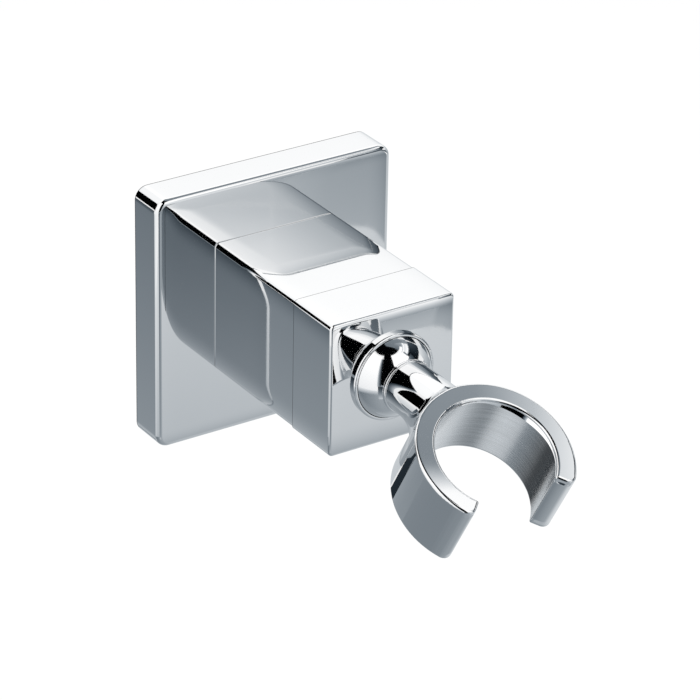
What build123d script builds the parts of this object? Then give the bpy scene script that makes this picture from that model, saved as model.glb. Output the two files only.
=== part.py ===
from build123d import *
from math import acos, asin, cos, degrees, radians, sin, sqrt
import os

# Wall-mounted hand shower holder, in millimetres.
# Origin: where the square body's centre line meets the wall. The wall is the plane Y = 0,
# the body stands out along -Y and +Z is up. "Depth" below is the distance out from the wall.

# Wall plate and square body, read off the photo with the body 28 mm square
plate_side = 54.0
plate_depth = 8.3
plate_drop = 1.3            # the plate's centre hangs a little under the body's centre line
plate_corner_r = 2.7
plate_edge_r = 1.0
plate_front_wall = 1.8
plate_side_wall = 2.0
rosette_gap = 0.2           # around the post, and around the soft seal
body_side = 28.0
body_reach = 42.0           # from the plate's face to the front block's face
block_length = 13.1         # the visible front block, ahead of the seam
sleeve_step = 0.15          # the block stands this much proud of the sleeve on each side
body_edge_r = 1.0
face_edge_r = 0.5
sleeve_wall = 2.05
sleeve_hole_corner_r = 0.6

# Ball joint
ball_r = 8.9
ball_behind_face = 2.0      # the ball's centre, behind the block's front face
turn_gap = 0.1              # radial gap of every turning fit
lip_r = 9.1
lip_height = 1.0
lip_edge_r = 0.4
thread_step = 0.4           # the thread is this much wider than the bore ahead of it
land_length = 2.2           # bore at ball size behind the ball's centre
thread_run_out = 0.4
thread_gap = 0.03           # radial gap that stands for a screwed or pushed-in fit
liner_wall = 0.8
liner_hole_angle = 20.0     # angles of the liner and cup, from the ball's rear pole
liner_rim_angle = 46.0
cup_rim_angle = 50.0
cup_hole_r = 4.5
cup_back_wall = 2.3
washer_thickness = 0.5
washer_rim_gap = 0.3
spring_thickness = 0.7
spring_cone = 0.45
spring_bore_r = 5.1
spring_rim_gap = 0.6
tension_ring_length = 4.0
tension_ring_key = 10.0
tension_ring_notch = 0.7
notch_half = 1.5
wiper_section_r = 0.65

# Fork: stem and open ring in one casting
stem_r = 5.3
bead_r = 5.55
bead_length = 0.8
bead_round = 0.2
stem_seam_r = 5.45          # circle where the ball's flat meets its dome
stem_thread_length = 13.0
stem_fillet_r = 5.0
ring_bore_r = 11.8
ring_wall = 3.9
ring_height = 15.6
ring_pitch = 30.0           # the ring's axis leans this far out of the vertical
neck_length = 16.67         # along the stem, from the block's face to the ring's outer wall
ring_top_drop = 0.5
ring_gap_half_angle = 46.0
ring_spare = 14.0           # the ring is blended this much taller at each end, then trimmed
ring_outer_round = 0.15 * ring_wall
ring_foot_round = 0.1 * ring_wall
tip_outer_round = 0.44 * ring_wall
tip_inner_round = 0.1 * ring_wall

# Concealed wall fixing
mount_edge_gap = 1.2        # from the mounting plate's ends to the seal
mount_height = 30.0
mount_thickness = 2.5
mount_corner_r = 3.0
mount_hole_r = 2.5
mount_hole_spacing = 32.0
post_cover = 6.0            # body material around the post
post_length = 15.5
post_gap = 0.05
post_groove = 1.0
post_groove_half = 2.1
post_nose = 0.8
post_hole_floor = 2.5       # left ahead of the screw's hole
socket_length = 10.0        # solid rear end of the sleeve, bored for the post
seal_width = 1.7
seal_depth = 2.0

# Screws: thread radius and key across flats
m5_r = 2.5
m4_r = 2.0
m3_r = 1.5
csk_head_r = 4.6
csk_gap = 0.06
post_screw_length = 13.0
post_screw_key = 3.0
post_screw_key_depth = 1.8
cap_head_r = 4.25
cap_head_height = 5.0
cap_head_chamfer = 0.4
screw_gap = 0.25
ball_screw_reach = 18.0
ball_screw_key = 4.0
ball_seat_behind = 2.4      # the screw head's seat, behind the ball's centre
grub_point = 0.6            # cone height of a grub screw, as a part of its radius
grub_key_depth = 0.4        # key socket, as a part of its length
grub_tip_gap = 0.05
sleeve_grub_length = 6.0
sleeve_grub_key = 2.0
lock_screw_length = 3.0
lock_screw_key = 1.5
dowel_r = 1.0
dowel_length = 5.0
dowel_edge = 1.8            # from the dowel's axis to the post's side
dowel_start = 0.1           # the pin's rear end, clear of the wall
dowel_chamfer = 0.15
dowel_hole_depth = 3.0      # in the post
spigot_length = 8.0
spigot_side_gap = 0.1
spigot_wall = 0.7           # thinnest, over the thread
spigot_corner = 0.8

# Followed sizes
face_depth = plate_depth + body_reach
seam_depth = face_depth - block_length
ball_depth = face_depth - ball_behind_face
seat_r = ball_r + turn_gap
liner_outer_r = seat_r + liner_wall
cup_seat_r = liner_outer_r + turn_gap
sleeve_side = body_side - 2 * sleeve_step
sleeve_hole_side = sleeve_side - 2 * sleeve_wall
spigot_side = sleeve_hole_side - 2 * spigot_side_gap
thread_r = spigot_side / 2 - spigot_wall
pack_bore_r = thread_r - thread_step
washer_outer_r = pack_bore_r - washer_rim_gap
spring_outer_r = pack_bore_r - spring_rim_gap
rosette_inside = plate_side - 2 * plate_side_wall
seal_outer = rosette_inside - rosette_gap
seal_inner = seal_outer - 2 * seal_width
mount_width = seal_inner - 2 * mount_edge_gap
ring_outer_r = ring_bore_r + ring_wall
ring_reach = neck_length + ring_outer_r / cos(radians(ring_pitch))
post_r = body_side / 2 - post_cover
dowel_drop = post_r - dowel_edge
cup_front = ball_depth - cup_seat_r * cos(radians(cup_rim_angle))
cup_back = ball_depth - cup_seat_r - cup_back_wall
washer_back = cup_back - washer_thickness
spring_stage = spring_thickness + spring_cone
springs_back = washer_back - 2 * spring_stage
tension_ring_back = springs_back - tension_ring_length
block_back = seam_depth - spigot_length
lock_depth = (springs_back + tension_ring_back) / 2
post_front = mount_thickness + post_length
post_groove_depth = plate_depth + socket_length / 2
stem_root = sqrt(ball_r**2 - stem_seam_r**2)
stem_root_depth = ball_depth + stem_root
ring_centre = Vector(0, -(face_depth + ring_reach), -ring_top_drop)
foot_round_limit = 0.9 * ring_outer_r
tool_reach = 4 * ring_outer_r
flat_tolerance = 0.001
ring_plane = Plane(
    origin=ring_centre,
    x_dir=(1, 0, 0),
    z_dir=(0, -sin(radians(ring_pitch)), cos(radians(ring_pitch))),
)


def block_between(width, height, depth_from, depth_to, z=0.0, x=0.0):
    """Box of the given width and height between two depths from the wall."""
    middle = -(depth_from + depth_to) / 2
    return Pos(x, middle, z) * Box(width, abs(depth_to - depth_from), height)


def rod(radius, depth_from, depth_to, x=0.0, z=0.0):
    """Round bar along Y between two depths from the wall."""
    middle = -(depth_from + depth_to) / 2
    return Pos(x, middle, z) * Rot(90, 0, 0) * Cylinder(radius, abs(depth_to - depth_from))


def turned(points):
    """Solid of revolution about the body's centre line, from (radius, depth) points."""
    outline = Polyline(*[(r, -depth) for r, depth in points], close=True)
    return revolve(make_face(outline), Axis.Y)


def polar_point(radius, angle):
    """Sketch point on a sphere about the ball's centre, at an angle from its rear pole."""
    return (radius * sin(radians(angle)), -ball_depth + radius * cos(radians(angle)))


def ball_arc(radius, angle_from, angle_to):
    """Arc about the ball's centre, angles counted from the rear pole."""
    middle = (angle_from + angle_to) / 2
    return ThreePointArc(
        polar_point(radius, angle_from), polar_point(radius, middle), polar_point(radius, angle_to)
    )


def hex_key(across_flats, depth_from, depth_to):
    """Hexagonal bar along Y, for a key socket."""
    sketch = RegularPolygon(across_flats / 2, 6, major_radius=False)
    bar = extrude(sketch, abs(depth_to - depth_from))
    return Pos(0, -min(depth_from, depth_to), 0) * Rot(90, 0, 0) * bar


def make_rosette():
    """Hollow square wall plate with rounded corners and face edges."""
    shell = block_between(plate_side, plate_side, 0, plate_depth, z=-plate_drop)
    shell = fillet(shell.edges().filter_by(Axis.Y), plate_corner_r)
    face_edges = shell.faces().sort_by(Axis.Y)[0].edges()
    shell = fillet(face_edges, plate_edge_r)
    cavity = block_between(rosette_inside, rosette_inside, 0, plate_depth - plate_front_wall, z=-plate_drop)
    cavity = fillet(cavity.edges().filter_by(Axis.Y), plate_corner_r / 2)
    return shell - cavity - rod(post_r + rosette_gap, 0, plate_depth)


def make_wall_seal():
    """Soft square strip inside the rosette's rear rim."""
    strip = block_between(seal_outer, seal_outer, 0, seal_depth, z=-plate_drop)
    strip = fillet(strip.edges().filter_by(Axis.Y), plate_corner_r / 2)
    return strip - block_between(seal_inner, seal_inner, 0, seal_depth, z=-plate_drop)


def make_mounting_plate():
    """Steel plate that the wall screws hold."""
    plate = block_between(mount_width, mount_height, 0, mount_thickness)
    plate = fillet(plate.edges().filter_by(Axis.Y), mount_corner_r)
    for side in (-1, 1):
        plate -= rod(mount_hole_r, 0, mount_thickness, x=side * mount_hole_spacing / 2)
    sink = csk_head_r - m5_r
    seat = turned(
        [
            (0, 0),
            (csk_head_r + csk_gap, 0),
            (m5_r + csk_gap, sink),
            (m5_r + csk_gap, mount_thickness),
            (0, mount_thickness),
        ]
    )
    return plate - seat - rod(dowel_r + thread_gap, 0, mount_thickness, z=-dowel_drop)


def make_mounting_post():
    """Turned post with the groove that the sleeve's grub screw pulls against."""
    floor_r = post_r - post_groove
    floor = post_groove_half - post_groove
    post = turned(
        [
            (0, mount_thickness),
            (post_r, mount_thickness),
            (post_r, post_groove_depth - post_groove_half),
            (floor_r, post_groove_depth - floor),
            (floor_r, post_groove_depth + floor),
            (post_r, post_groove_depth + post_groove_half),
            (post_r, post_front - post_nose),
            (post_r - post_nose, post_front),
            (0, post_front),
        ]
    )
    post -= rod(m5_r + thread_gap, mount_thickness, post_front - post_hole_floor)
    dowel_end = mount_thickness + dowel_hole_depth
    return post - rod(dowel_r + thread_gap, mount_thickness, dowel_end, z=-dowel_drop)


def make_post_screw():
    """Countersunk screw that joins the post to the mounting plate from behind."""
    sink = csk_head_r - m5_r
    screw = turned(
        [(0, 0), (csk_head_r, 0), (m5_r, sink), (m5_r, post_screw_length), (0, post_screw_length)]
    )
    return screw - hex_key(post_screw_key, 0, post_screw_key_depth)


def make_dowel_pin():
    """Pin that stops the post from turning on the mounting plate."""
    pin = rod(dowel_r, dowel_start, dowel_start + dowel_length, z=-dowel_drop)
    return chamfer(pin.edges(), dowel_chamfer)


def make_sleeve():
    """Square tube behind the seam, with a bored rear end for the post."""
    tube = block_between(sleeve_side, sleeve_side, plate_depth, seam_depth)
    tube = fillet(tube.edges().filter_by(Axis.Y), body_edge_r)
    hole = block_between(
        sleeve_hole_side, sleeve_hole_side, plate_depth + socket_length, seam_depth
    )
    tube -= fillet(hole.edges().filter_by(Axis.Y), sleeve_hole_corner_r)
    tube -= rod(post_r + post_gap, plate_depth, plate_depth + socket_length)
    tube -= upright_hole(m4_r + thread_gap, post_groove_depth, post_r)
    return tube - upright_hole(m3_r + thread_gap, lock_depth, thread_r)


def upright_hole(radius, depth, inner_z):
    """Hole from the body's underside up to a height below the centre line."""
    bottom = -body_side / 2 - 1
    length = -inner_z + 1 - bottom
    return Pos(0, -depth, bottom + length / 2) * Cylinder(radius, length)


def make_grub_screw(radius, depth, tip_z, length, key):
    """Grub screw with a cone point, standing upright under the centre line."""
    point = radius * grub_point
    bottom = tip_z - length
    body = Pos(0, -depth, bottom + (length - point) / 2) * Cylinder(radius, length - point)
    cone = Pos(0, -depth, tip_z - point / 2) * Cone(radius, radius - point, point)
    sketch = Pos(0, -depth, bottom) * RegularPolygon(key / 2, 6, major_radius=False)
    return body + cone - extrude(sketch, length * grub_key_depth)


def make_sleeve_grub_screw():
    """Screw under the sleeve that pulls against the post's groove."""
    tip = -post_r + post_groove - grub_tip_gap
    return make_grub_screw(m4_r, post_groove_depth, tip, sleeve_grub_length, sleeve_grub_key)


def make_lock_screw():
    """Screw under the body that pins sleeve, block and tension ring together."""
    tip = -thread_r + thread_gap + tension_ring_notch - grub_tip_gap
    return make_grub_screw(m3_r, lock_depth, tip, lock_screw_length, lock_screw_key)


def make_front_block():
    """Square socket block: raised lip and ball seat in front, bore and spigot behind."""
    block = block_between(body_side, body_side, seam_depth, face_depth)
    block = fillet(block.edges().filter_by(Axis.Y), body_edge_r)
    block = fillet(block.faces().sort_by(Axis.Y)[0].edges(), face_edge_r)
    lip = rod(lip_r, face_depth - 1, face_depth + lip_height)
    lip = fillet(lip.edges().sort_by(Axis.Y)[0], lip_edge_r)
    spigot = block_between(spigot_side, spigot_side, block_back, seam_depth + 1)
    spigot = chamfer(spigot.edges().filter_by(Axis.Y), spigot_corner)
    block = block + lip + spigot
    lip_angle = 180 - front_angle(ball_behind_face + lip_height, seat_r)
    front = face_depth + lip_height
    land_back = ball_depth - land_length
    thread_front = springs_back + thread_run_out
    seat_line = ball_arc(seat_r, 90, lip_angle)
    lip_inner = seat_line @ 1
    outline = seat_line + Polyline(
        lip_inner,
        (0, -front),
        (0, -block_back),
        (thread_r, -block_back),
        (thread_r, -thread_front),
        (pack_bore_r, -thread_front),
        (pack_bore_r, -land_back),
        (seat_r, -land_back),
        (seat_r, -ball_depth),
    )
    block -= revolve(make_face(outline), Axis.Y)
    groove_front = wiper_depth() + wiper_section_r + thread_gap
    groove_back = wiper_depth() - wiper_section_r - thread_gap
    groove = rod(wiper_groove_r(), groove_back, groove_front)
    block -= groove - rod(ball_r, groove_back, groove_front)
    return block - upright_hole(m3_r + thread_gap, lock_depth, thread_r - 1)


def front_angle(ahead, radius):
    """Angle from the front pole to the circle of a sphere that lies this far ahead."""
    return degrees(acos(ahead / radius))


def wiper_depth():
    """Depth of the wiper ring's circle."""
    return ball_depth - wiper_section_r - turn_gap


def wiper_groove_r():
    """Floor radius of the wiper ring's groove."""
    return seat_r + 2 * wiper_section_r + thread_gap


def make_wiper_ring():
    """Rubber ring that keeps water out of the joint."""
    ring = Torus(seat_r + wiper_section_r, wiper_section_r)
    return Pos(0, -wiper_depth(), 0) * Rot(90, 0, 0) * ring


def make_pivot_ball():
    """Ball with a flat for the stem, bored and counterbored from behind for its screw."""
    recess_r = cap_head_r + screw_gap
    hole_r = m5_r + screw_gap
    skin = ball_arc(ball_r, rear_angle(recess_r, ball_r), 180 - front_angle(stem_root, ball_r))
    outline = skin + Polyline(
        skin @ 1,
        (hole_r, -stem_root_depth),
        (hole_r, -head_seat_depth()),
        (recess_r, -head_seat_depth()),
        skin @ 0,
    )
    return revolve(make_face(outline), Axis.Y)


def head_seat_depth():
    """Depth of the shoulder that the ball screw's head pulls on."""
    return ball_depth - ball_seat_behind


def make_ball_screw():
    """Socket-head screw from the ball's rear into the stem."""
    seat = head_seat_depth()
    head = rod(cap_head_r, seat - cap_head_height, seat)
    head = chamfer(head.edges().sort_by(Axis.Y)[-1], cap_head_chamfer)
    screw = head + rod(m5_r, seat, seat + ball_screw_reach)
    return screw - hex_key(ball_screw_key, seat - cap_head_height, seat - cap_head_height / 2)


def make_friction_liner():
    """Thin spherical cap behind the ball."""
    outer = ball_arc(liner_outer_r, liner_hole_angle, liner_rim_angle)
    inner = ball_arc(seat_r, liner_hole_angle, liner_rim_angle)
    outline = outer + inner + Line(outer @ 0, inner @ 0) + Line(outer @ 1, inner @ 1)
    return revolve(make_face(outline), Axis.Y)


def make_pressure_cup():
    """Cup that presses the liner and ball forward against the seat."""
    hole_angle = rear_angle(cup_hole_r, cup_seat_r)
    seat = ball_arc(cup_seat_r, hole_angle, cup_rim_angle)
    outer = pack_bore_r - turn_gap
    outline = seat + Polyline(
        seat @ 1,
        (outer, -cup_front),
        (outer, -cup_back),
        (cup_hole_r, -cup_back),
        seat @ 0,
    )
    return revolve(make_face(outline), Axis.Y)


def rear_angle(circle_r, radius):
    """Angle from the rear pole to the circle of this radius on a sphere."""
    return degrees(asin(circle_r / radius))


def make_thrust_washer():
    """Slip washer between the cup and the springs."""
    washer = rod(washer_outer_r, washer_back, cup_back)
    return washer - rod(spring_bore_r, washer_back, cup_back)


def make_disc_spring(front, bore_leads):
    """Coned disc spring; bore_leads says whether its bore lies ahead of its rim."""
    bore_front = front if bore_leads else front - spring_cone
    rim_front = front - spring_cone if bore_leads else front
    return turned(
        [
            (spring_bore_r, bore_front),
            (spring_outer_r, rim_front),
            (spring_outer_r, rim_front - spring_thickness),
            (spring_bore_r, bore_front - spring_thickness),
        ]
    )


def make_tension_ring():
    """Threaded ring with a key hole; its groove takes the lock screw's point."""
    outer = thread_r - thread_gap
    floor = notch_half - tension_ring_notch
    ring = turned(
        [
            (0, springs_back),
            (outer, springs_back),
            (outer, lock_depth + notch_half),
            (outer - tension_ring_notch, lock_depth + floor),
            (outer - tension_ring_notch, lock_depth - floor),
            (outer, lock_depth - notch_half),
            (outer, tension_ring_back),
            (0, tension_ring_back),
        ]
    )
    return ring - hex_key(tension_ring_key, tension_ring_back, springs_back)


def ring_cylinder(radius, top, bottom):
    """Cylinder on the ring's own axis, between two heights over the ring's top face."""
    middle = (top + bottom) / 2
    return ring_plane * Pos(0, 0, middle) * Cylinder(radius, top - bottom)


def local_edges(solid):
    """Edges of a solid with their places in the ring's own frame."""
    return [(edge, ring_plane.to_local_coords(edge)) for edge in solid.edges()]


def tip_edges(solid, radius):
    """Edges along the ring's axis at the ends of the gap, on the circle of this radius."""
    side = radius * sin(radians(ring_gap_half_angle))
    margin = (ring_outer_r - ring_bore_r) / 4
    return [
        edge
        for edge, local in local_edges(solid)
        if edge.geom_type == GeomType.LINE
        and abs(abs(local.center().X) - side) < margin
        and edge.length > ring_height
    ]


def edges_at_height(solid, height, back_limit):
    """Edges in the plane at this height over the ring's top face, up to a distance behind."""
    return [
        edge
        for edge, local in local_edges(solid)
        if abs(local.bounding_box().max.Z - height) < flat_tolerance
        and abs(local.bounding_box().min.Z - height) < flat_tolerance
        and local.center().Y < back_limit
    ]


def make_stem_and_ring():
    """Stem filleted on a ring that runs past the finished one at both ends."""
    far = face_depth + ring_reach - ring_bore_r
    bead_end = stem_root_depth + bead_length
    blend = rod(stem_r, bead_end - bead_length / 2, far)
    blend += ring_cylinder(ring_outer_r, ring_spare, -ring_height - ring_spare)
    blend = fillet(blend.edges().filter_by(GeomType.BSPLINE), stem_fillet_r)
    blend -= ring_cylinder(ring_bore_r, tool_reach, -tool_reach)
    blend += fillet(rod(bead_r, stem_root_depth, bead_end).edges(), bead_round)
    thread_end = stem_root_depth + stem_thread_length
    return blend - rod(m5_r + thread_gap, stem_root_depth - bead_length, thread_end)


def cut_gap(ring):
    """The tall ring with the hose gap cut out and its tips rounded."""
    side = tool_reach * sin(radians(ring_gap_half_angle))
    ahead = -tool_reach * cos(radians(ring_gap_half_angle))
    wedge = make_face(Polyline((0, 0), (side, ahead), (-side, ahead), close=True))
    ring -= ring_plane * Pos(0, 0, -tool_reach) * extrude(wedge, 2 * tool_reach)
    ring = fillet(tip_edges(ring, ring_outer_r), tip_outer_round)
    return fillet(tip_edges(ring, ring_bore_r), tip_inner_round)


def trim_to_ring_planes(casting):
    """Cut at the ring's top and bottom planes; below, the stem and bead stay whole."""
    block = Box(2 * tool_reach, 2 * tool_reach, tool_reach)
    above = ring_plane * Pos(0, 0, tool_reach / 2) * block
    below = ring_plane * Pos(0, 0, -ring_height - tool_reach / 2) * block
    stem = rod(stem_r + thread_gap, stem_root_depth, stem_root_depth + tool_reach)
    bead = rod(bead_r + thread_gap, stem_root_depth - bead_length, stem_root_depth + 2 * bead_length)
    return casting - above - (below - stem - bead)


def make_fork():
    """Stem with its bead, blended into the inclined open ring."""
    casting = trim_to_ring_planes(cut_gap(make_stem_and_ring()))
    casting = fillet(edges_at_height(casting, 0, tool_reach), ring_outer_round)
    foot = edges_at_height(casting, -ring_height, foot_round_limit)
    return fillet(foot, ring_foot_round)


os.makedirs("parts", exist_ok=True)

pieces = {
    "mounting_plate": make_mounting_plate(),
    "mounting_post": make_mounting_post(),
    "post_screw": make_post_screw(),
    "dowel_pin": make_dowel_pin(),
    "wall_seal": make_wall_seal(),
    "rosette": make_rosette(),
    "sleeve": make_sleeve(),
    "sleeve_grub_screw": make_sleeve_grub_screw(),
    "front_block": make_front_block(),
    "lock_screw": make_lock_screw(),
    "wiper_ring": make_wiper_ring(),
    "pivot_ball": make_pivot_ball(),
    "ball_screw": make_ball_screw(),
    "friction_liner": make_friction_liner(),
    "pressure_cup": make_pressure_cup(),
    "thrust_washer": make_thrust_washer(),
    "disc_spring_front": make_disc_spring(washer_back, True),
    "disc_spring_rear": make_disc_spring(washer_back - spring_stage, False),
    "tension_ring": make_tension_ring(),
    "fork": make_fork(),
}
for node, solid in pieces.items():
    export_step(solid, f"parts/{node}.step")
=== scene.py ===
"""Finishes and studio for a wall-mounted hand shower holder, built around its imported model."""

import logging
import math
from dataclasses import dataclass
from enum import Enum, IntEnum
from typing import Any, Optional, Sequence, Union

import bmesh
import bpy
from mathutils import Matrix, Vector

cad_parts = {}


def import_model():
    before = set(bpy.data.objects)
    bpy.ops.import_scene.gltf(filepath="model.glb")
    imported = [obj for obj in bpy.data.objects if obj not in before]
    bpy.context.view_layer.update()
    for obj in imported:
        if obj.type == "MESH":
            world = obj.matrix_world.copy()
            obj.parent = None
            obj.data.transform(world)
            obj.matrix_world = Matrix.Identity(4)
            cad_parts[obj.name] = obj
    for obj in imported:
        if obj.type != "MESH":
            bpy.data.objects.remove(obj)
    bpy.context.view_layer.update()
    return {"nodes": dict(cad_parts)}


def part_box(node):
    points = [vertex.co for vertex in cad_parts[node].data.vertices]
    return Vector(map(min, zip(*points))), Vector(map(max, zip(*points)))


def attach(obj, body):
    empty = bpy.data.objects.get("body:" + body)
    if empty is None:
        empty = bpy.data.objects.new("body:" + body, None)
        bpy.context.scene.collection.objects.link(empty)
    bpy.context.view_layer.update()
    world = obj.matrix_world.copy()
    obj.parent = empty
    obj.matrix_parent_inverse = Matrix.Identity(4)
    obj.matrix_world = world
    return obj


LOG = logging.getLogger("holder")
BORE_NAME = "brushed_bore"
MM = 0.001
USUAL_NOISE = (0.3, 0.7)
WHITE = (1.0, 1.0, 1.0, 1.0)

Colour = tuple[float, float, float]
Place = tuple[float, float, float]
Span = tuple[float, float]


class Axis(IntEnum):
    """Axes of the frame, in the order of a place's three numbers."""

    X = 0
    Y = 1
    Z = 2


def front_depth(node: str) -> float:
    """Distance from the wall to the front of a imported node, in millimetres."""
    return -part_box(node)[0][Axis.Y] / MM


def towards(azimuth: float, elevation: float) -> Vector:
    """Direction as seen from the holder.

    Args:
        azimuth: degrees from straight ahead towards the holder's +X side.
        elevation: degrees above the horizon.

    Returns:
        The direction, one unit long.
    """
    turn, rise = math.radians(azimuth), math.radians(elevation)
    return Vector(
        (math.sin(turn) * math.cos(rise), -math.cos(turn) * math.cos(rise), math.sin(rise))
    )


class Signal:
    """A shader value that takes part in Python arithmetic."""

    def __init__(self, shader: "Shader", socket: bpy.types.NodeSocket) -> None:
        """Wrap an output socket of the given shader."""
        self.shader = shader
        self.socket = socket

    def _math(self, operation: str, *values: Any) -> "Signal":
        """Add a Math node to the tree and return its result."""
        node = self.shader.node("ShaderNodeMath", {"operation": operation}, dict(enumerate(values)))
        return Signal(self.shader, node.outputs[0])

    def __add__(self, other: Any) -> "Signal":
        """Sum with a number or another signal."""
        return self._math("ADD", self, other)

    def __radd__(self, other: Any) -> "Signal":
        """Sum with this signal on the right."""
        return self._math("ADD", other, self)

    def __sub__(self, other: Any) -> "Signal":
        """Difference from this signal."""
        return self._math("SUBTRACT", self, other)

    def __rsub__(self, other: Any) -> "Signal":
        """Difference with this signal on the right."""
        return self._math("SUBTRACT", other, self)

    def __mul__(self, other: Any) -> "Signal":
        """Product with a number or another signal."""
        return self._math("MULTIPLY", self, other)

    def __rmul__(self, other: Any) -> "Signal":
        """Product with this signal on the right."""
        return self._math("MULTIPLY", other, self)

    def __truediv__(self, other: Any) -> "Signal":
        """Quotient of this signal."""
        return self._math("DIVIDE", self, other)

    def __rtruediv__(self, other: Any) -> "Signal":
        """Quotient with this signal below."""
        return self._math("DIVIDE", other, self)

    def magnitude(self) -> "Signal":
        """Value without its sign."""
        return self._math("ABSOLUTE", self)

    def at_least(self, other: Any) -> "Signal":
        """Larger of this signal and another value."""
        return self._math("MAXIMUM", self, other)

    def at_most(self, other: Any) -> "Signal":
        """Smaller of this signal and another value."""
        return self._math("MINIMUM", self, other)

    def power(self, exponent: float) -> "Signal":
        """This signal to a fixed power."""
        return self._math("POWER", self, exponent)

    def arctan2(self, other: Any) -> "Signal":
        """Angle of this signal over another, in radians."""
        return self._math("ARCTAN2", self, other)

    def fade(self, start: float, end: float, low: float = 0.0, high: float = 1.0) -> "Signal":
        """Ease from low to high while this signal runs from start to end.

        Args:
            start: value at which the result is low.
            end: value at which the result is high.
            low: result below start.
            high: result beyond end.

        Returns:
            The eased signal.
        """
        node = self.shader.node(
            "ShaderNodeMapRange",
            {"interpolation_type": "SMOOTHSTEP"},
            {"Value": self, "From Min": start, "From Max": end, "To Min": low, "To Max": high},
        )
        return Signal(self.shader, node.outputs[0])


class Shader:
    """Node tree of a material or of the world, built node by node."""

    def __init__(self, owner: Union[bpy.types.Material, bpy.types.World], output: str) -> None:
        """Empty the owner's tree and give it an output.

        Args:
            owner: material or world that holds the tree.
            output: Blender's type name of its output node.
        """
        owner.use_nodes = True
        self.owner = owner
        self.tree = owner.node_tree
        self.tree.nodes.clear()
        self.output = self.tree.nodes.new(output)

    @classmethod
    def of_material(cls, name: str) -> "Shader":
        """Start a new material."""
        return cls(bpy.data.materials.new(name), "ShaderNodeOutputMaterial")

    @classmethod
    def of_world(cls, name: str) -> "Shader":
        """Start a new world."""
        return cls(bpy.data.worlds.new(name), "ShaderNodeOutputWorld")

    def node(
        self,
        kind: str,
        settings: Optional[dict[str, Any]] = None,
        sockets: Optional[dict[Any, Any]] = None,
    ) -> bpy.types.Node:
        """Add a node, set it up and feed its sockets.

        Args:
            kind: Blender's type name of the node.
            settings: properties of the node, set first.
            sockets: value, signal or output socket for each input, by name or number.

        Returns:
            The new node.
        """
        made = self.tree.nodes.new(kind)
        for key, value in (settings or {}).items():
            setattr(made, key, value)
        for key, value in (sockets or {}).items():
            target = made.inputs[key]
            if isinstance(value, Signal):
                self.tree.links.new(value.socket, target)
            elif isinstance(value, bpy.types.NodeSocket):
                self.tree.links.new(value, target)
            else:
                target.default_value = value
        return made

    def place(self) -> bpy.types.NodeSocket:
        """Position on the piece, in metres."""
        return self.node("ShaderNodeTexCoord").outputs["Object"]

    def axes(self, vector: Optional[bpy.types.NodeSocket] = None) -> tuple[Signal, Signal, Signal]:
        """Split a vector, or the position on the piece, into its three numbers."""
        split = self.node("ShaderNodeSeparateXYZ", None, {0: vector or self.place()})
        return tuple(Signal(self, split.outputs[i]) for i in range(3))

    def turned_place(self, origin: Vector, turn: Place) -> bpy.types.NodeSocket:
        """Position measured from a point and turned.

        Args:
            origin: point that becomes zero, in metres.
            turn: rotation about X, Y and Z in radians.

        Returns:
            The vector socket.
        """
        moved = self.node(
            "ShaderNodeVectorMath", {"operation": "SUBTRACT"}, {0: self.place(), 1: tuple(origin)}
        )
        turned = self.node(
            "ShaderNodeMapping",
            {"vector_type": "POINT"},
            {"Vector": moved.outputs[0], "Rotation": turn},
        )
        return turned.outputs[0]

    def noise(
        self, scale: float, detail: float = 2.0, vector: Optional[bpy.types.NodeSocket] = None
    ) -> Signal:
        """Cloudy noise from 0 to 1.

        Args:
            scale: features per metre.
            detail: number of finer layers.
            vector: place to read, the piece's own if left out.

        Returns:
            The noise value.
        """
        made = self.node(
            "ShaderNodeTexNoise",
            None,
            {"Vector": vector or self.place(), "Scale": scale, "Detail": detail},
        )
        return Signal(self, made.outputs[0])

    def tint(self, share: Signal, first: Colour, second: Colour) -> bpy.types.NodeSocket:
        """Blend two colours.

        Args:
            share: part of the second colour, from 0 to 1.
            first: colour at 0.
            second: colour at 1.

        Returns:
            The colour socket.
        """
        mix = self.node("ShaderNodeMix", {"data_type": "RGBA"}, {0: share})
        mix.inputs[6].default_value = (*first, 1.0)
        mix.inputs[7].default_value = (*second, 1.0)
        return mix.outputs[2]

    def scaled(self, vector: bpy.types.NodeSocket, factor: Signal) -> bpy.types.NodeSocket:
        """Multiply a colour or vector by a signal."""
        sockets = {0: vector, "Scale": factor}
        return self.node("ShaderNodeVectorMath", {"operation": "SCALE"}, sockets).outputs[0]

    def bump(self, height: Signal, distance: float) -> bpy.types.NodeSocket:
        """Surface normal disturbed by a height, whose 1 stands for a distance in metres."""
        sockets = {"Height": height, "Distance": distance}
        return self.node("ShaderNodeBump", None, sockets).outputs[0]

    def seen_directly(self) -> Signal:
        """One where the camera, a mirror or glass looks, and zero for other light.

        Returns:
            The signal.
        """
        path = self.node("ShaderNodeLightPath")
        camera, mirror, glass = (
            Signal(self, path.outputs[f"Is {kind} Ray"])
            for kind in ("Camera", "Glossy", "Transmission")
        )
        return camera.at_least(mirror).at_least(glass)

    def surface(self, sockets: dict[str, Any]) -> bpy.types.Material:
        """Finish the material with a principled surface that has these inputs."""
        return self.finish(self.node("ShaderNodeBsdfPrincipled", None, sockets))

    def finish(self, result: bpy.types.Node) -> Union[bpy.types.Material, bpy.types.World]:
        """Send a node's result to the output and return the tree's owner."""
        self.tree.links.new(result.outputs[0], self.output.inputs[0])
        return self.owner


@dataclass(frozen=True)
class RingSize:
    """Open ring of the fork, in millimetres and degrees.

    The top centre is that of its upper face, the pitch is the lean of its axis to the front, and
    the bore and the outside are radii.
    """

    top_centre: Place = (0.0, -85.1, -0.5)
    pitch: float = 30.0
    bore: float = 11.8
    outside: float = 15.7
    depth: float = 15.6


RING = RingSize()


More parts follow.
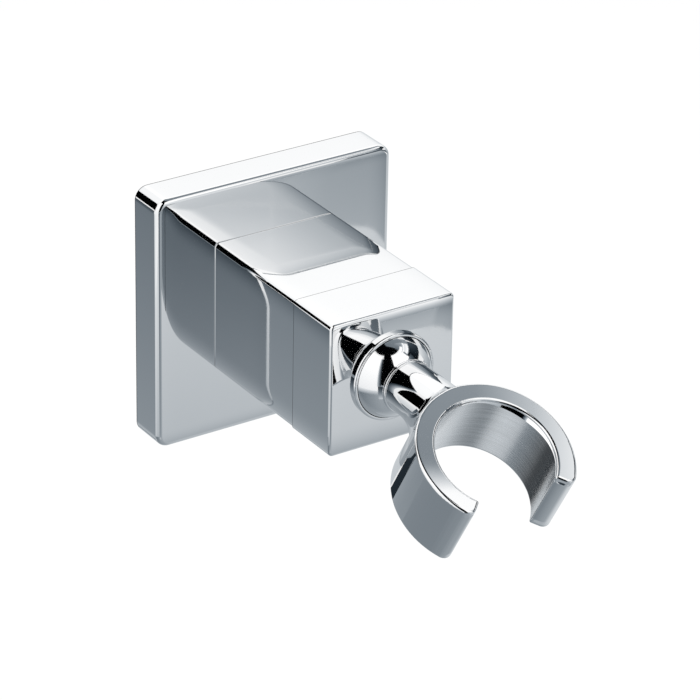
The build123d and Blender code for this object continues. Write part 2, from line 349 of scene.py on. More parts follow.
@dataclass(frozen=True)
class EdgeFall:
    """Gentle fall of a polished flat towards two of its edges, left by the polishing wheel.

    Sizes are in millimetres along one axis of the frame. The reach is how far from an edge the
    fall starts, and the slope is its tangent at the edge.
    """

    axis: Axis
    middle: float
    half: float
    reach: float
    slope: float

    @classmethod
    def across(cls, node: str, axis: Axis, reach: float, slope: float) -> "EdgeFall":
        """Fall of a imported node's flat, which is as wide as the node."""
        low, high = (corner[axis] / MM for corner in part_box(node))
        return cls(axis, (low + high) / 2, (high - low) / 2, reach, slope)

    def height(self, places: Sequence[Signal]) -> Signal:
        """Height of the surface over its own flat.

        Args:
            places: position along each axis, in millimetres.

        Returns:
            The height in millimetres.
        """
        inside = self.half - (places[self.axis] - self.middle).magnitude()
        run = (self.reach - inside).at_least(0.0)
        return run * run * run * (-self.slope / (3 * self.reach**2))


@dataclass(frozen=True)
class Root:
    """Small hollow round where a square body meets the plate, at a depth in millimetres."""

    depth: float
    reach: float = 0.3
    slope: float = 1.1

    def height(self, places: Sequence[Signal]) -> Signal:
        """Height of the round over the body's flat.

        Args:
            places: position along each axis, in millimetres.

        Returns:
            The height in millimetres.
        """
        run = (places[Axis.Y] + self.depth + self.reach).at_least(0.0).at_most(self.reach)
        return run * run * (self.slope / (2 * self.reach))


@dataclass(frozen=True)
class TipCrown:
    """Slight crown on the ends of the open ring.

    It fades in between two distances from the ring's rims, in millimetres.
    """

    ring: RingSize
    slope: float = 0.5
    clear: Span = (0.6, 1.8)

    def height(self, places: Sequence[Signal]) -> Signal:
        """Height of the crown over the ring's flat ends.

        Args:
            places: position along each axis, in millimetres.

        Returns:
            The height in millimetres.
        """
        x, y, z = (place - middle for place, middle in zip(places, self.ring.top_centre))
        cosine = math.cos(math.radians(self.ring.pitch))
        sine = math.sin(math.radians(self.ring.pitch))
        across = y * cosine + z * sine
        down = y * sine - z * cosine
        radius = (x * x + across * across).power(0.5)
        half = (self.ring.outside - self.ring.bore) / 2
        away = radius - (self.ring.bore + half)
        crown = (half * half - away * away).at_least(0.0) * (self.slope / (2 * half))
        middle = self.ring.depth / 2
        return crown * (middle - (down - middle).magnitude()).fade(*self.clear)


@dataclass(frozen=True)
class SeamShade:
    """Painted shade: a fine dark line in the gap round a part, at a depth in millimetres."""

    depth: float
    half: float = 0.08
    soft: float = 0.1
    darkness: float = 0.8

    def shade(self, places: Sequence[Signal]) -> Signal:
        """Share of light that the painted shade line keeps.

        Args:
            places: position along each axis, in millimetres.

        Returns:
            One away from the line, less on it.
        """
        # painted shade: darker on the line, full colour away from it
        away = (places[Axis.Y] + self.depth).magnitude()
        return away.fade(self.half, self.half + self.soft, 1.0 - self.darkness, 1.0)


@dataclass(frozen=True)
class BrushLines:
    """Fine lines and uneven tone that a brush leaves round the ring's bore, and painted shade.

    Angles are in degrees from the stem towards +X, and lengths in metres. Each patch of painted
    shade darkens the bore's colour, and has its middle angle, its spread to either side and the
    share of light it takes. The lip is the bevel that leads into the bore, with its start, widths
    and blend in millimetres: it is widest at its own angle, and narrowest where its spread ends.
    """

    ring: RingSize
    lines_per_metre: float = 4200.0
    line_length: float = 0.014
    line_height_mm: float = 0.012
    line_keep: Span = (0.8, 1.0)
    painted_shade_patches: tuple[Place, ...] = ((24.0, 26.0, 0.3), (98.0, 36.0, 0.84))
    lip_start: float = 0.6
    lip_angle: float = 62.0
    lip_spread: float = 58.0
    lip_widths: Span = (0.25, 1.25)
    lip_slope: float = 0.85
    lip_blend: float = 0.04

    def chart(self, shader: Shader) -> tuple[Signal, Signal]:
        """Place of a point in the bore.

        Args:
            shader: material that it becomes part of.

        Returns:
            The angle round the bore in radians, and the height along its axis in metres.
        """
        turn = (-math.radians(self.ring.pitch), 0.0, 0.0)
        turned = shader.turned_place(Vector(self.ring.top_centre) * MM, turn)
        x, y, z = shader.axes(turned)
        return x.arctan2(y), z

    def streaks(self, shader: Shader, angle: Signal, height: Signal) -> Signal:
        """Noise drawn out along the bore.

        Args:
            shader: material that it becomes part of.
            angle: angle round the bore.
            height: height along its axis.

        Returns:
            The noise, from 0 to 1.
        """
        sockets = {
            "X": angle * (self.ring.bore * MM / self.line_length),
            "Y": height * self.lines_per_metre,
        }
        joined = shader.node("ShaderNodeCombineXYZ", None, sockets)
        return shader.noise(1.0, detail=3.0, vector=joined.outputs[0])

    def lip(self, angle: Signal, height: Signal) -> Signal:
        """Depth in millimetres into the bevel that leads into the bore.

        Args:
            angle: angle round the bore.
            height: height along its axis.

        Returns:
            Zero below the bevel, and its rise above that.
        """
        away = (angle - math.radians(self.lip_angle)).magnitude()
        narrow, wide = self.lip_widths
        width = away.fade(0.0, math.radians(self.lip_spread), wide, narrow)
        return (height / MM + (width + self.lip_start)).at_least(0.0)

    def tone(self, angle: Signal, streaks: Signal) -> Signal:
        """Share of light that the brushed plating keeps, with painted shade in its patches.

        Args:
            angle: angle round the bore.
            streaks: noise along the bore.

        Returns:
            The share, from 0 to 1.
        """
        kept = streaks.fade(*USUAL_NOISE, *self.line_keep)
        # painted shade: each patch darkens the plating's colour round its own angle
        for middle, spread, shade_share in self.painted_shade_patches:
            away = (angle - math.radians(middle)).magnitude()
            kept = kept * away.fade(0.0, math.radians(spread), 1.0 - shade_share, 1.0)
        return kept


class Polish(Enum):
    """How a plated surface was finished before plating."""

    MIRROR = "mirror"
    SATIN = "satin"


@dataclass(frozen=True)
class ChromePlate:
    """Chrome plating with faint polishing falls, painted seam shade and haze, or brushed satin."""

    name: str = "polished_chrome"
    colour: Colour = (0.87, 0.875, 0.88)
    polish: Polish = Polish.MIRROR
    shapes: tuple[Union[EdgeFall, Root, TipCrown], ...] = ()
    seam_shades: tuple[SeamShade, ...] = ()
    brush: Optional[BrushLines] = None
    roughness: float = 0.025
    haze: float = 0.02
    haze_noise: Span = (0.35, 0.75)
    cloud_scale: float = 160.0
    cloud_tone: float = 0.985
    lip_roughness: float = 0.04
    satin_spread: Span = (0.8, 1.2)

    def material(self) -> bpy.types.Material:
        """Build the shader.

        Returns:
            The plated material.
        """
        shader = Shader.of_material(self.name)
        clouds = shader.noise(self.cloud_scale, detail=3.0)
        clouded = tuple(channel * self.cloud_tone for channel in self.colour)
        tone = shader.tint(clouds, self.colour, clouded)
        if self.polish is Polish.SATIN and self.brush is not None:
            sockets = self._brushed(shader, tone, self.brush)
        else:
            sockets = self._mirrored(shader, tone, clouds)
        return shader.surface({"Metallic": 1.0, **sockets})

    def _brushed(
        self, shader: Shader, tone: bpy.types.NodeSocket, brush: BrushLines
    ) -> dict[str, Any]:
        """Inputs of a satin surface with painted shade and a polished bevel.

        Args:
            shader: material that they become part of.
            tone: colour of the plating.
            brush: lines that it carries.

        Returns:
            The surface's inputs by name.
        """
        angle, along = brush.chart(shader)
        streaks = brush.streaks(shader, angle, along)
        rise = brush.lip(angle, along)
        polished = rise.fade(0.0, brush.lip_blend)
        low, high = (self.roughness * share for share in self.satin_spread)
        rough = streaks.fade(*USUAL_NOISE, low, high)
        # painted shade from the patches darkens the bore's colour, and the bevel keeps its full
        # colour
        kept = brush.tone(angle, streaks)
        height = streaks * brush.line_height_mm - rise * brush.lip_slope
        return {
            "Base Color": shader.scaled(tone, kept + (1.0 - kept) * polished),
            "Roughness": rough + (self.lip_roughness - rough) * polished,
            "Normal": shader.bump(height, MM),
        }

    def _mirrored(
        self, shader: Shader, tone: bpy.types.NodeSocket, clouds: Signal
    ) -> dict[str, Any]:
        """Inputs of a mirror surface with its shapes and its painted seam shade.

        Args:
            shader: material that they become part of.
            tone: colour of the plating.
            clouds: noise that places the haze.

        Returns:
            The surface's inputs by name.
        """
        rough = clouds.fade(*self.haze_noise) * self.haze + self.roughness
        sockets: dict[str, Any] = {"Base Color": tone, "Roughness": rough}
        places = [place / MM for place in shader.axes()]
        if self.shapes:
            height = sum((shape.height(places) for shape in self.shapes), 0.0)
            sockets["Normal"] = shader.bump(height, MM)
        # painted shade: thin dark lines in the gaps at the seams
        if self.seam_shades:
            kept = math.prod((seam.shade(places) for seam in self.seam_shades), start=1.0)
            sockets["Base Color"] = shader.scaled(tone, kept)
        return sockets


@dataclass(frozen=True)
class Metal:
    """Plain machined or plated metal with clouds and a grain."""

    name: str
    light: Colour
    dark: Colour
    roughness: float
    spread: Span = (0.8, 1.25)
    cloud_scale: float = 210.0
    grain_scale: float = 2600.0
    grain_height: float = 0.000004

    def material(self) -> bpy.types.Material:
        """Build the shader.

        Returns:
            The metal material.
        """
        shader = Shader.of_material(self.name)
        clouds = shader.noise(self.cloud_scale, detail=4.0)
        grain = shader.noise(self.grain_scale, detail=2.0)
        low, high = (self.roughness * share for share in self.spread)
        return shader.surface(
            {
                "Base Color": shader.tint(clouds.fade(*USUAL_NOISE), self.light, self.dark),
                "Metallic": 1.0,
                "Roughness": grain.fade(*USUAL_NOISE, low, high),
                "Normal": shader.bump(grain, self.grain_height),
            }
        )


@dataclass(frozen=True)
class Moulded:
    """Moulded rubber or plastic with a fine matt texture."""

    name: str
    light: Colour
    dark: Colour
    roughness: float
    spread: Span = (0.9, 1.1)
    cloud_scale: float = 140.0
    pore_scale: float = 3800.0
    pore_height: float = 0.00001

    def material(self) -> bpy.types.Material:
        """Build the shader.

        Returns:
            The moulded material.
        """
        shader = Shader.of_material(self.name)
        clouds = shader.noise(self.cloud_scale, detail=3.0)
        pores = shader.noise(self.pore_scale, detail=1.0)
        low, high = (self.roughness * share for share in self.spread)
        return shader.surface(
            {
                "Base Color": shader.tint(clouds, self.light, self.dark),
                "Roughness": pores.fade(*USUAL_NOISE, low, high),
                "Normal": shader.bump(pores, self.pore_height),
            }
        )


class Finishes:
    """Every finish of the holder, each built once."""

    def __init__(self) -> None:
        """Build the materials."""
        self._build_chrome()
        self._build_inner_metals()
        self._build_soft_parts()

    def _build_chrome(self) -> None:
        """Plating of parts that show, with painted seam shade at the fronts of plate and sleeve."""
        plate_front = front_depth("rosette")
        self.chrome = ChromePlate(shapes=(TipCrown(RING),)).material()
        self.plate_chrome = ChromePlate(
            "polished_chrome_plate",
            shapes=(
                EdgeFall.across("rosette", Axis.X, reach=6.0, slope=0.17),
                EdgeFall.across("rosette", Axis.Z, reach=4.0, slope=0.12),
            ),
            # painted shade along the plate's edge at the wall
            seam_shades=(SeamShade(0.0, half=0.12, soft=0.18),),
        ).material()
        self.body_chrome = ChromePlate(
            "polished_chrome_body",
            shapes=(
                EdgeFall.across("front_block", Axis.X, reach=6.0, slope=0.16),
                EdgeFall.across("front_block", Axis.Z, reach=6.0, slope=0.16),
                Root(plate_front),
            ),
            # painted shade in the gaps at the sleeve's front and where the body meets the plate
            seam_shades=(
                SeamShade(front_depth("sleeve")),
                SeamShade(plate_front, half=0.02, soft=0.12, darkness=0.6),
            ),
        ).material()
        self.ball_chrome = ChromePlate("polished_chrome_ball", roughness=0.07).material()
        self.brushed_chrome = ChromePlate(
            "brushed_chrome",
            polish=Polish.SATIN,
            brush=BrushLines(RING),
            colour=(0.985, 0.99, 0.995),
            roughness=0.25,
        ).material()

    def _build_inner_metals(self) -> None:
        """Steel and brass of the parts inside."""
        self.zinc = Metal(
            "zinc_steel", light=(0.62, 0.63, 0.64), dark=(0.5, 0.51, 0.5), roughness=0.32
        ).material()
        self.black_steel = Metal(
            "dark_steel", light=(0.06, 0.06, 0.065), dark=(0.03, 0.03, 0.03), roughness=0.4
        ).material()
        self.spring_steel = Metal(
            "spring_steel", light=(0.4, 0.4, 0.42), dark=(0.3, 0.28, 0.27), roughness=0.3
        ).material()
        self.brass = Metal(
            "turned_brass", light=(0.72, 0.54, 0.28), dark=(0.58, 0.42, 0.2), roughness=0.24
        ).material()

    def _build_soft_parts(self) -> None:
        """Rubber and plastic of the parts inside."""
        self.rubber = Moulded(
            "seal_rubber", light=(0.035, 0.035, 0.037), dark=(0.02, 0.02, 0.022), roughness=0.75
        ).material()
        self.acetal = Moulded(
            "liner_plastic", light=(0.84, 0.84, 0.8), dark=(0.76, 0.76, 0.73), roughness=0.45
        ).material()


@dataclass
class Assembly:
    """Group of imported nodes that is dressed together."""

    nodes: dict[str, bpy.types.Object]
    finishes: Finishes

    def dress(self, finish: bpy.types.Material, *names: str) -> None:
        """Put one finish on the named nodes.

        Args:
            finish: material for every face.
            names: the nodes.
        """
        for name in names:
            mesh = self.nodes[name].data
            mesh.materials.clear()
            mesh.materials.append(finish)
            LOG.info("%s: %s", name, finish.name)


class WallFixing(Assembly):
    """Wall plate with the concealed plate, post and seal behind it."""

    def build(self) -> None:
        """Dress the fixing's nodes."""
        self.dress(self.finishes.plate_chrome, "rosette")
        self.dress(self.finishes.zinc, "mounting_plate", "post_screw", "dowel_pin")
        self.dress(self.finishes.brass, "mounting_post")
        self.dress(self.finishes.rubber, "wall_seal")


class SquareBody(Assembly):
    """Sleeve and front block with their grub screws."""

    def build(self) -> None:
        """Dress the body's nodes."""
        self.dress(self.finishes.body_chrome, "sleeve", "front_block")
        self.dress(self.finishes.black_steel, "sleeve_grub_screw", "lock_screw")


class BallJoint(Assembly):
    """Ball and the pack that keeps its friction."""

    def build(self) -> None:
        """Dress the joint's nodes."""
        self.dress(self.finishes.ball_chrome, "pivot_ball")
        self.dress(self.finishes.zinc, "ball_screw")
        self.dress(self.finishes.acetal, "friction_liner", "thrust_washer")
        self.dress(self.finishes.brass, "pressure_cup", "tension_ring")
        self.dress(self.finishes.spring_steel, "disc_spring_front", "disc_spring_rear")
        self.dress(self.finishes.rubber, "wiper_ring")


class NodeGraph:
    """Geometry Nodes tree with named sizes, built node by node."""

    def __init__(self, name: str) -> None:
        """Make a tree that takes and gives a mesh.

        Args:
            name: the tree's name, which its mesh takes too.
        """
        self.tree = bpy.data.node_groups.new(name, "GeometryNodeTree")
        for side in ("INPUT", "OUTPUT"):
            self.tree.interface.new_socket(
                "Geometry", in_out=side, socket_type="NodeSocketGeometry"
            )
        self.inputs = self.tree.nodes.new("NodeGroupInput")
        self.values: dict[str, Any] = {}

    def size(self, name: str, value: Any, kind: str = "Float") -> str:
        """Add a named input and remember the value that the modifier gives it.

        Args:
            name: the input's name.
            value: its value.
            kind: socket type, without its prefix.

        Returns:
            The name, for use as a link.
        """
        socket = self.tree.interface.new_socket(
            name, in_out="INPUT", socket_type=f"NodeSocket{kind}"
        )
        self.values[socket.identifier] = value
        return name

    def add(
        self,
        kind: str,
        settings: Optional[dict[str, Any]] = None,
        sockets: Optional[dict[Any, Any]] = None,
    ) -> bpy.types.Node:
        """Add a node, set it up and feed its sockets.

        Args:
            kind: Blender's type name of the node.
            settings: properties of the node.
            sockets: value, output socket or name of a size for each input.

        Returns:
            The new node.
        """
        made = self.tree.nodes.new(kind)
        for key, value in (settings or {}).items():
            setattr(made, key, value)
        for key, value in (sockets or {}).items():
            target = made.inputs[key]
            if isinstance(value, bpy.types.NodeSocket):
                self.tree.links.new(value, target)
            elif isinstance(value, str):
                self.tree.links.new(self.inputs.outputs[value], target)
            else:
                target.default_value = value
        return made

    def finish(
        self, result: bpy.types.NodeSocket, finish: bpy.types.Material
    ) -> bpy.types.Mesh:
        """End the tree, run it once and return a plain mesh.

        Args:
            result: geometry to give out.
            finish: material of all of it.

        Returns:
            The mesh.
        """
        real = self.add("GeometryNodeRealizeInstances", None, {0: result})
        painted = self.add(
            "GeometryNodeSetMaterial", None, {0: real.outputs[0], "Material": finish}
        )
        output = self.tree.nodes.new("NodeGroupOutput")
        self.tree.links.new(painted.outputs[0], output.inputs[0])
        carrier = bpy.data.objects.new(self.tree.name, bpy.data.meshes.new(self.tree.name))
        bpy.context.scene.collection.objects.link(carrier)
        modifier = carrier.modifiers.new("build", "NODES")
        modifier.node_group = self.tree
        for identifier, value in self.values.items():
            modifier[identifier] = value
        ready = carrier.evaluated_get(bpy.context.evaluated_depsgraph_get())
        mesh = bpy.data.meshes.new_from_object(ready)
        carrier.modifiers.clear()
        bpy.data.objects.remove(carrier)
        return mesh


@dataclass
class RingFork(Assembly):
    """Stem and open ring, with the ring's brushed bore.

    The bore's strip is in millimetres and degrees. Its top and bottom are distances below the
    ring's upper face, and half the gap is the angle from the gap's middle to a tip.
    """

    ring: RingSize = RING
    top: float = 0.6
    bottom: float = 15.1
    half_gap: float = 48.6
    thickness: float = 0.03
    steps: int = 180
    sharp_angle: float = 40.0
    merge_distance: float = 0.0001

    def build(self) -> None:
        """Dress the fork and line its bore."""
        self.dress(self.finishes.chrome, "fork")
        self._line_bore()

    def _line_bore(self) -> None:
        """Lay the brushed surface, a thin strip that follows the open bore."""
        graph = NodeGraph(BORE_NAME)
        mesh = graph.finish(self._place(graph, self._strip(graph)), self.finishes.brushed_chrome)
        mesh.name = BORE_NAME
        self._smooth_outward(mesh)
        piece = bpy.data.objects.new(BORE_NAME, mesh)
        bpy.context.scene.collection.objects.link(piece)
        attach(piece, "holder")
        LOG.info("%s: %d faces", BORE_NAME, len(mesh.polygons))

    def _strip(self, graph: NodeGraph) -> bpy.types.NodeSocket:
        """Curved strip about the origin.

        Args:
            graph: tree that it becomes part of.

        Returns:
            Its geometry.
        """
        arc = graph.add(
            "GeometryNodeCurveArc",
            {"mode": "RADIUS"},
            {
                "Resolution": graph.size("Steps", self.steps, "Int"),
                "Radius": graph.size("Radius", (self.ring.bore - self.thickness / 2) * MM),
                "Start Angle": graph.size("Start", math.radians(self.half_gap - 90.0)),
                "Sweep Angle": graph.size("Sweep", math.radians(360.0 - 2 * self.half_gap)),
            },
        )
        section = graph.add(
            "GeometryNodeCurvePrimitiveQuadrilateral",
            {"mode": "RECTANGLE"},
            {
                "Width": graph.size("Thickness", self.thickness * MM),
                "Height": graph.size("Height", (self.bottom - self.top) * MM),
            },
        )
        strip = graph.add(
            "GeometryNodeCurveToMesh",
            None,
            {"Curve": arc.outputs[0], "Profile Curve": section.outputs[0], "Fill Caps": True},
        )
        return strip.outputs[0]

    def _place(self, graph: NodeGraph, strip: bpy.types.NodeSocket) -> bpy.types.NodeSocket:
        """Lower the strip into the bore, tip it and move it to the ring.

        Args:
            graph: tree that it becomes part of.
            strip: the strip about the origin.

        Returns:
            The placed geometry.
        """
        drop = (0.0, 0.0, -(self.top + self.bottom) / 2 * MM)
        centre = tuple(c * MM for c in self.ring.top_centre)
        pitch = (math.radians(self.ring.pitch), 0.0, 0.0)
        dropped = graph.add(
            "GeometryNodeTransform",
            None,
            {"Geometry": strip, "Translation": graph.size("Drop", drop, "Vector")},
        )
        placed = graph.add(
            "GeometryNodeTransform",
            None,
            {
                "Geometry": dropped.outputs[0],
                "Translation": graph.size("Centre", centre, "Vector"),
                "Rotation": graph.size("Pitch", pitch, "Vector"),
            },
        )
        return placed.outputs[0]

    def _smooth_outward(self, mesh: bpy.types.Mesh) -> None:
        """Turn a mesh's faces outward and shade it smooth between sharp edges.

        Args:
            mesh: the mesh to finish.
        """
        work = bmesh.new()
        work.from_mesh(mesh)
        bmesh.ops.remove_doubles(work, verts=work.verts, dist=self.merge_distance * MM)
        bmesh.ops.recalc_face_normals(work, faces=work.faces)
        for edge in work.edges:
            edge.smooth = edge.calc_face_angle(math.pi) < math.radians(self.sharp_angle)
        for face in work.faces:
            face.smooth = True
        work.to_mesh(mesh)
        work.free()


@dataclass(frozen=True)
class Card:
    """Studio card on a sphere about the holder, seen only in reflections.

    Azimuth and elevation run in degrees as in towards(). Levels are display brightness from 0 to
    255 at the card's bottom left, bottom right, top left and top right, and go past 255 where the
    plating should show pure white. The curves turn brightness into light for red, green and
    blue, and leave greys cool and whites neutral.
    """

    name: str
    azimuth: Span
    elevation: Span
    levels: tuple[float, float, float, float]
    steps: int = 36
    curves: tuple[float, float, float] = (2.4, 2.2, 2.04)

    def build(self, centre: Vector, distance: float, reflectance: float) -> bpy.types.Object:
        """Make the card.

        Args:
            centre: middle of the sphere.
            distance: the sphere's radius in metres.
            reflectance: brightness of the plating that the levels allow for.

        Returns:
            The card's object.
        """
        mesh = self._mesh(centre, distance)
        mesh.materials.append(self._glow(reflectance))
        card = bpy.data.objects.new(self.name, mesh)
        bpy.context.scene.collection.objects.link(card)
        for kind in ("camera", "diffuse", "transmission", "shadow", "volume_scatter"):
            setattr(card, f"visible_{kind}", False)
        return card

    def _mesh(self, centre: Vector, distance: float) -> bpy.types.Mesh:
        """Patch of the sphere, with its own chart from corner to corner.

        Args:
            centre: middle of the sphere.
            distance: the sphere's radius in metres.

        Returns:
            The mesh.
        """
        shares = [step / self.steps for step in range(self.steps + 1)]
        places = [(u, v) for v in shares for u in shares]
        verts = [
            centre
            + distance
            * towards(
                self.azimuth[0] * (1 - u) + self.azimuth[1] * u,
                self.elevation[0] * (1 - v) + self.elevation[1] * v,
            )
            for u, v in places
        ]
        width = self.steps + 1
        starts = [row * width + column for row in range(self.steps) for column in range(self.steps)]
        faces = [(start, start + width, start + width + 1, start + 1) for start in starts]
        mesh = bpy.data.meshes.new(self.name)
        mesh.from_pydata(verts, [], faces)
        chart = mesh.uv_layers.new(name="card")
        for loop in mesh.loops:
            chart.data[loop.index].uv = places[loop.vertex_index]
        return mesh

    def _glow(self, reflectance: float) -> bpy.types.Material:
        """Shader whose brightness runs between the card's four corners.

        Args:
            reflectance: brightness of the plating that the levels allow for.

        Returns:
            The glowing material.
        """
        shader = Shader.of_material(self.name)
        chart = shader.node("ShaderNodeUVMap", {"uv_map": "card"}).outputs[0]
        u, v, _ = shader.axes(chart)
        low_left, low_right, top_left, top_right = (value / 255 for value in self.levels)
        low = u * (low_right - low_left) + low_left
        top = u * (top_right - top_left) + top_left
        shown = (low + (top - low) * v).at_least(0.0)
        channels = {
            name: shown.power(curve) / reflectance for name, curve in zip("XYZ", self.curves)
        }
        light = shader.node("ShaderNodeCombineXYZ", None, channels)
        return shader.finish(
            shader.node("ShaderNodeEmission", None, {"Color": light.outputs[0], "Strength": 1.0})
        )


@dataclass(frozen=True)
class Lamp:
    """Soft square lamp that looks at the holder, in metres and watts."""

    name: str
    place: Place
    side: float
    power: float
    mirrored: bool = False

    def build(self, target: Vector) -> bpy.types.Object:
        """Make the lamp.

        Args:
            target: point that it looks at.

        Returns:
            The lamp's object.
        """
        data = bpy.data.lights.new(self.name, "AREA")
        data.size = self.side
        data.energy = self.power
        lamp = bpy.data.objects.new(self.name, data)
        lamp.location = self.place
        lamp.rotation_mode = "QUATERNION"
        lamp.rotation_quaternion = (target - Vector(self.place)).to_track_quat("-Z", "Y")
        lamp.visible_glossy = self.mirrored
        bpy.context.scene.collection.objects.link(lamp)
        return lamp


@dataclass(frozen=True)
class View:
    """Camera where the photo was taken from.

    Its place is in metres and degrees, its lens and shift in pixels of the frame, and its sensor
    in millimetres.
    """

    target: Place = (0.0, -0.025, -0.00135)
    distance: float = 0.77353
    azimuth: float = -33.065
    elevation: float = 27.082
    roll: float = 0.881
    focal_px: float = 3963.8
    shift_px: Span = (29.99, -20.37)
    frame_px: int = 700
    sensor: float = 36.0
    near_clip: float = 0.01

    def build(self) -> None:
        """Set up the camera."""
        back = towards(self.azimuth, self.elevation)
        side = Vector((0, 0, 1)).cross(back).normalized()
        up = back.cross(side)
        roll = math.radians(self.roll)
        right = side * math.cos(roll) + up * math.sin(roll)
        top = up * math.cos(roll) - side * math.sin(roll)
        data = bpy.data.cameras.new("camera")
        data.sensor_width = self.sensor
        data.lens = self.focal_px / self.frame_px * self.sensor
        data.shift_x, data.shift_y = (shift / self.frame_px for shift in self.shift_px)
        data.clip_start = self.near_clip
        camera = bpy.data.objects.new("camera", data)
        turned = Matrix((right, top, back)).transposed().to_4x4()
        place = Vector(self.target) + back * self.distance
        camera.matrix_world = Matrix.Translation(place) @ turned
        bpy.context.scene.collection.objects.link(camera)
        bpy.context.scene.camera = camera


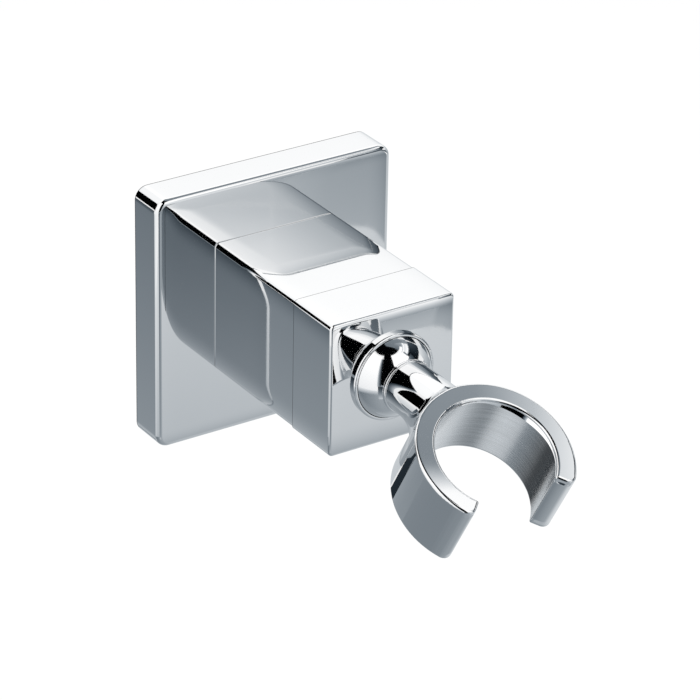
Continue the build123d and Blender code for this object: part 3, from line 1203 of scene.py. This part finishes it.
@dataclass(frozen=True)
class Studio:
    """Floor, world, cards, lamps and camera.

    A card that is named earlier stands nearer to the holder and hides the later ones behind it.
    """

    centre: Place = (0.0, -0.045, 0.0)
    surround_strength: float = 0.55
    floor_drop: float = 0.56
    floor_side: float = 6.0
    floor_grey: float = 0.9
    floor_glow: float = 1.08
    floor_glow_share: float = 0.8
    reflectance: float = 0.87
    near_card: float = 0.42
    card_step: float = 0.003
    view: View = View()
    sheen: Lamp = Lamp(
        "sheen", (-0.2, -0.099, -0.365), side=0.27, power=0.072, mirrored=True
    )
    lamps: tuple[Lamp, ...] = (
        Lamp("key", (-0.9, -1.1, 1.2), side=1.2, power=14.0),
        Lamp("fill", (1.2, -0.8, 0.7), side=1.6, power=7.0),
        Lamp("rim", (0.3, 1.2, 0.9), side=1.4, power=6.0),
    )
    cards: tuple[Card, ...] = (
        Card("left_face", (-164, -139), (-46, -6), (210, 180, 95, 60)),
        Card("left_mirror", (-52, -20), (-46, -12), (200, 205, 45, 45)),
        Card("front_face_low", (8, 62), (-46, -25.5), (158, 154, 206, 202)),
        Card("front_face_high", (8, 35.5), (-25.5, -19), (190, 179, 185, 162)),
        Card("front_face_blend", (35.2, 37.5), (-25.5, -19), (179, 167, 162, 143)),
        Card("front_face_side", (37.2, 62), (-25.5, -19), (167, 150, 143, 108)),
        Card("front_rise", (8, 62), (-19, -11), (185, 108, 262, 255)),
        Card("mirror_low_left", (16, 35), (10, 28), (248, 196, 248, 196)),
        Card("mirror_low_right", (35, 47), (10, 28), (196, 85, 196, 95)),
        Card("mirror_rise_left", (16, 35), (28, 30.5), (248, 196, 258, 240)),
        Card("mirror_rise_right", (35, 47), (28, 30.5), (196, 95, 240, 125)),
        Card("mirror_high_left", (16, 35), (30.5, 38), (258, 240, 264, 248)),
        Card("mirror_high_right", (35, 47), (30.5, 38), (240, 125, 248, 135)),
        Card("mirror_side", (47, 62), (10, 38), (85, 50, 125, 60)),
        Card("top_face", (118, 176), (8, 44), (240, 225, 268, 268)),
        Card("ring_tip", (46, 71.2), (57, 63), (268, 254, 268, 252)),
        Card("ring_tip_edge", (71.2, 73), (57, 63), (254, 146, 252, 146)),
        Card("ring_top_high", (46, 92), (58.5, 72), (90, 165, 100, 140)),
        Card("ring_top_mid", (46, 92), (56.5, 58.5), (192, 192, 115, 155)),
        Card("ring_top_soft", (46, 92), (53, 56.5), (285, 285, 192, 192)),
        Card("ring_top_low", (54, 90), (44, 53), (268, 262, 220, 220)),
        Card("flag_back", (-150, -126), (-2, 27), (6, 6, 6, 6)),
        Card("flag_rear", (-178, -164), (-36, -8), (50, 45, 40, 40)),
        Card("flag_right", (50, 100), (18, 42), (6, 50, 6, 90)),
        Card("flag_near", (34, 54), (4, 10), (80, 50, 90, 60)),
        Card("grey_near", (34, 84), (-11, 4), (95, 110, 80, 110)),
        Card("softbox_left", (-122, -54), (-24, 60), (235, 242, 268, 268)),
        Card("feather", (-54, -46), (-12, 55), (200, 60, 225, 20)),
        Card("flag_front", (-46, -10), (-8, 90), (6, 6, 6, 6)),
        Card("flag_top", (-180, 50), (64, 90), (8, 8, 8, 8), 48),
        Card("grey_top", (48, 180), (52, 90), (125, 140, 115, 115)),
        Card("grey_side", (48, 122), (42, 52), (120, 150, 130, 150)),
        Card("front_top", (-10, 52), (36, 64), (268, 268, 258, 248)),
        Card("right_low", (84, 130), (-16, 22), (145, 160, 235, 230)),
        Card("front_mid", (-10, 30), (-20, 36), (120, 200, 255, 255)),
        Card("back_right", (122, 180), (-18, 52), (200, 200, 268, 268)),
        Card("back_left", (-180, -146), (-18, 64), (200, 220, 268, 268)),
        Card("left_band", (-139, -120), (-30, -6), (190, 200, 220, 262)),
        Card("low_left", (-120, -46), (-34, -24), (150, 160, 225, 220)),
        Card("low_front", (-46, 30), (-46, -8), (150, 170, 140, 160)),
        Card("low_right", (44, 180), (-32, -16), (200, 190, 180, 200)),
        Card("under_back_left", (-180, -100), (-90, -30), (150, 150, 150, 112)),
        Card("under_left", (-101.5, -50), (-90, -30), (150, 150, 112, 155)),
        Card("under_front", (-51.5, 0), (-90, -30), (150, 150, 155, 160)),
        Card("under_right", (-1.5, 90), (-90, -30), (150, 150, 160, 235)),
        Card("under_back_right", (88.5, 180), (-90, -30), (150, 150, 235, 190)),
    )

    def build(self) -> None:
        """Set up everything round the holder."""
        self._build_world()
        self._build_floor()
        for order, card in enumerate(self.cards):
            distance = self.near_card + self.card_step * order
            card.build(Vector(self.centre), distance, self.reflectance)
        for lamp in self.lamps:
            lamp.build(Vector(self.centre))
        self._build_sheen()
        self.view.build()
        bpy.context.scene.view_settings.view_transform = "Standard"
        LOG.info("studio: %d cards", len(self.cards))

    def _build_world(self) -> None:
        """White surroundings for the camera and for mirrors, softer light for the rest."""
        shader = Shader.of_world("studio")
        plain, bright = (
            shader.node("ShaderNodeBackground", None, {"Color": WHITE, "Strength": strength})
            for strength in (self.surround_strength, 1.0)
        )
        seen = shader.seen_directly()
        sockets = {0: seen, 1: plain.outputs[0], 2: bright.outputs[0]}
        bpy.context.scene.world = shader.finish(shader.node("ShaderNodeMixShader", None, sockets))

    def _build_floor(self) -> None:
        """Pale floor that shows white and still takes the holder's shadow."""
        half = self.floor_side / 2
        mesh = bpy.data.meshes.new("floor")
        corners = [(-half, -half), (half, -half), (half, half), (-half, half)]
        mesh.from_pydata([(x, y, -self.floor_drop) for x, y in corners], [], [(0, 1, 2, 3)])
        floor = bpy.data.objects.new("floor", mesh)
        bpy.context.scene.collection.objects.link(floor)
        shader = Shader.of_material("pale_floor")
        grey = (self.floor_grey, self.floor_grey, self.floor_grey, 1.0)
        matt = shader.node("ShaderNodeBsdfDiffuse", None, {"Color": grey})
        glow = shader.node(
            "ShaderNodeEmission", None, {"Color": WHITE, "Strength": self.floor_glow}
        )
        share = shader.seen_directly() * self.floor_glow_share
        sockets = {0: share, 1: matt.outputs[0], 2: glow.outputs[0]}
        mesh.materials.append(shader.finish(shader.node("ShaderNodeMixShader", None, sockets)))

    def _build_sheen(self) -> None:
        """Light the brushed bore alone from below left, for the sheen across its lines."""
        lamp = self.sheen.build(Vector(self.centre))
        lit = bpy.data.collections.new("sheen_lit")
        lit.objects.link(bpy.data.objects[BORE_NAME])
        lamp.light_linking.receiver_collection = lit


def main() -> None:
    """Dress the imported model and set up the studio."""
    logging.basicConfig(level=logging.INFO, format="%(message)s")
    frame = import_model()
    finishes = Finishes()
    for assembly in (WallFixing, SquareBody, BallJoint, RingFork):
        assembly(frame["nodes"], finishes).build()
    Studio().build()


if __name__ == "__main__":
    main()
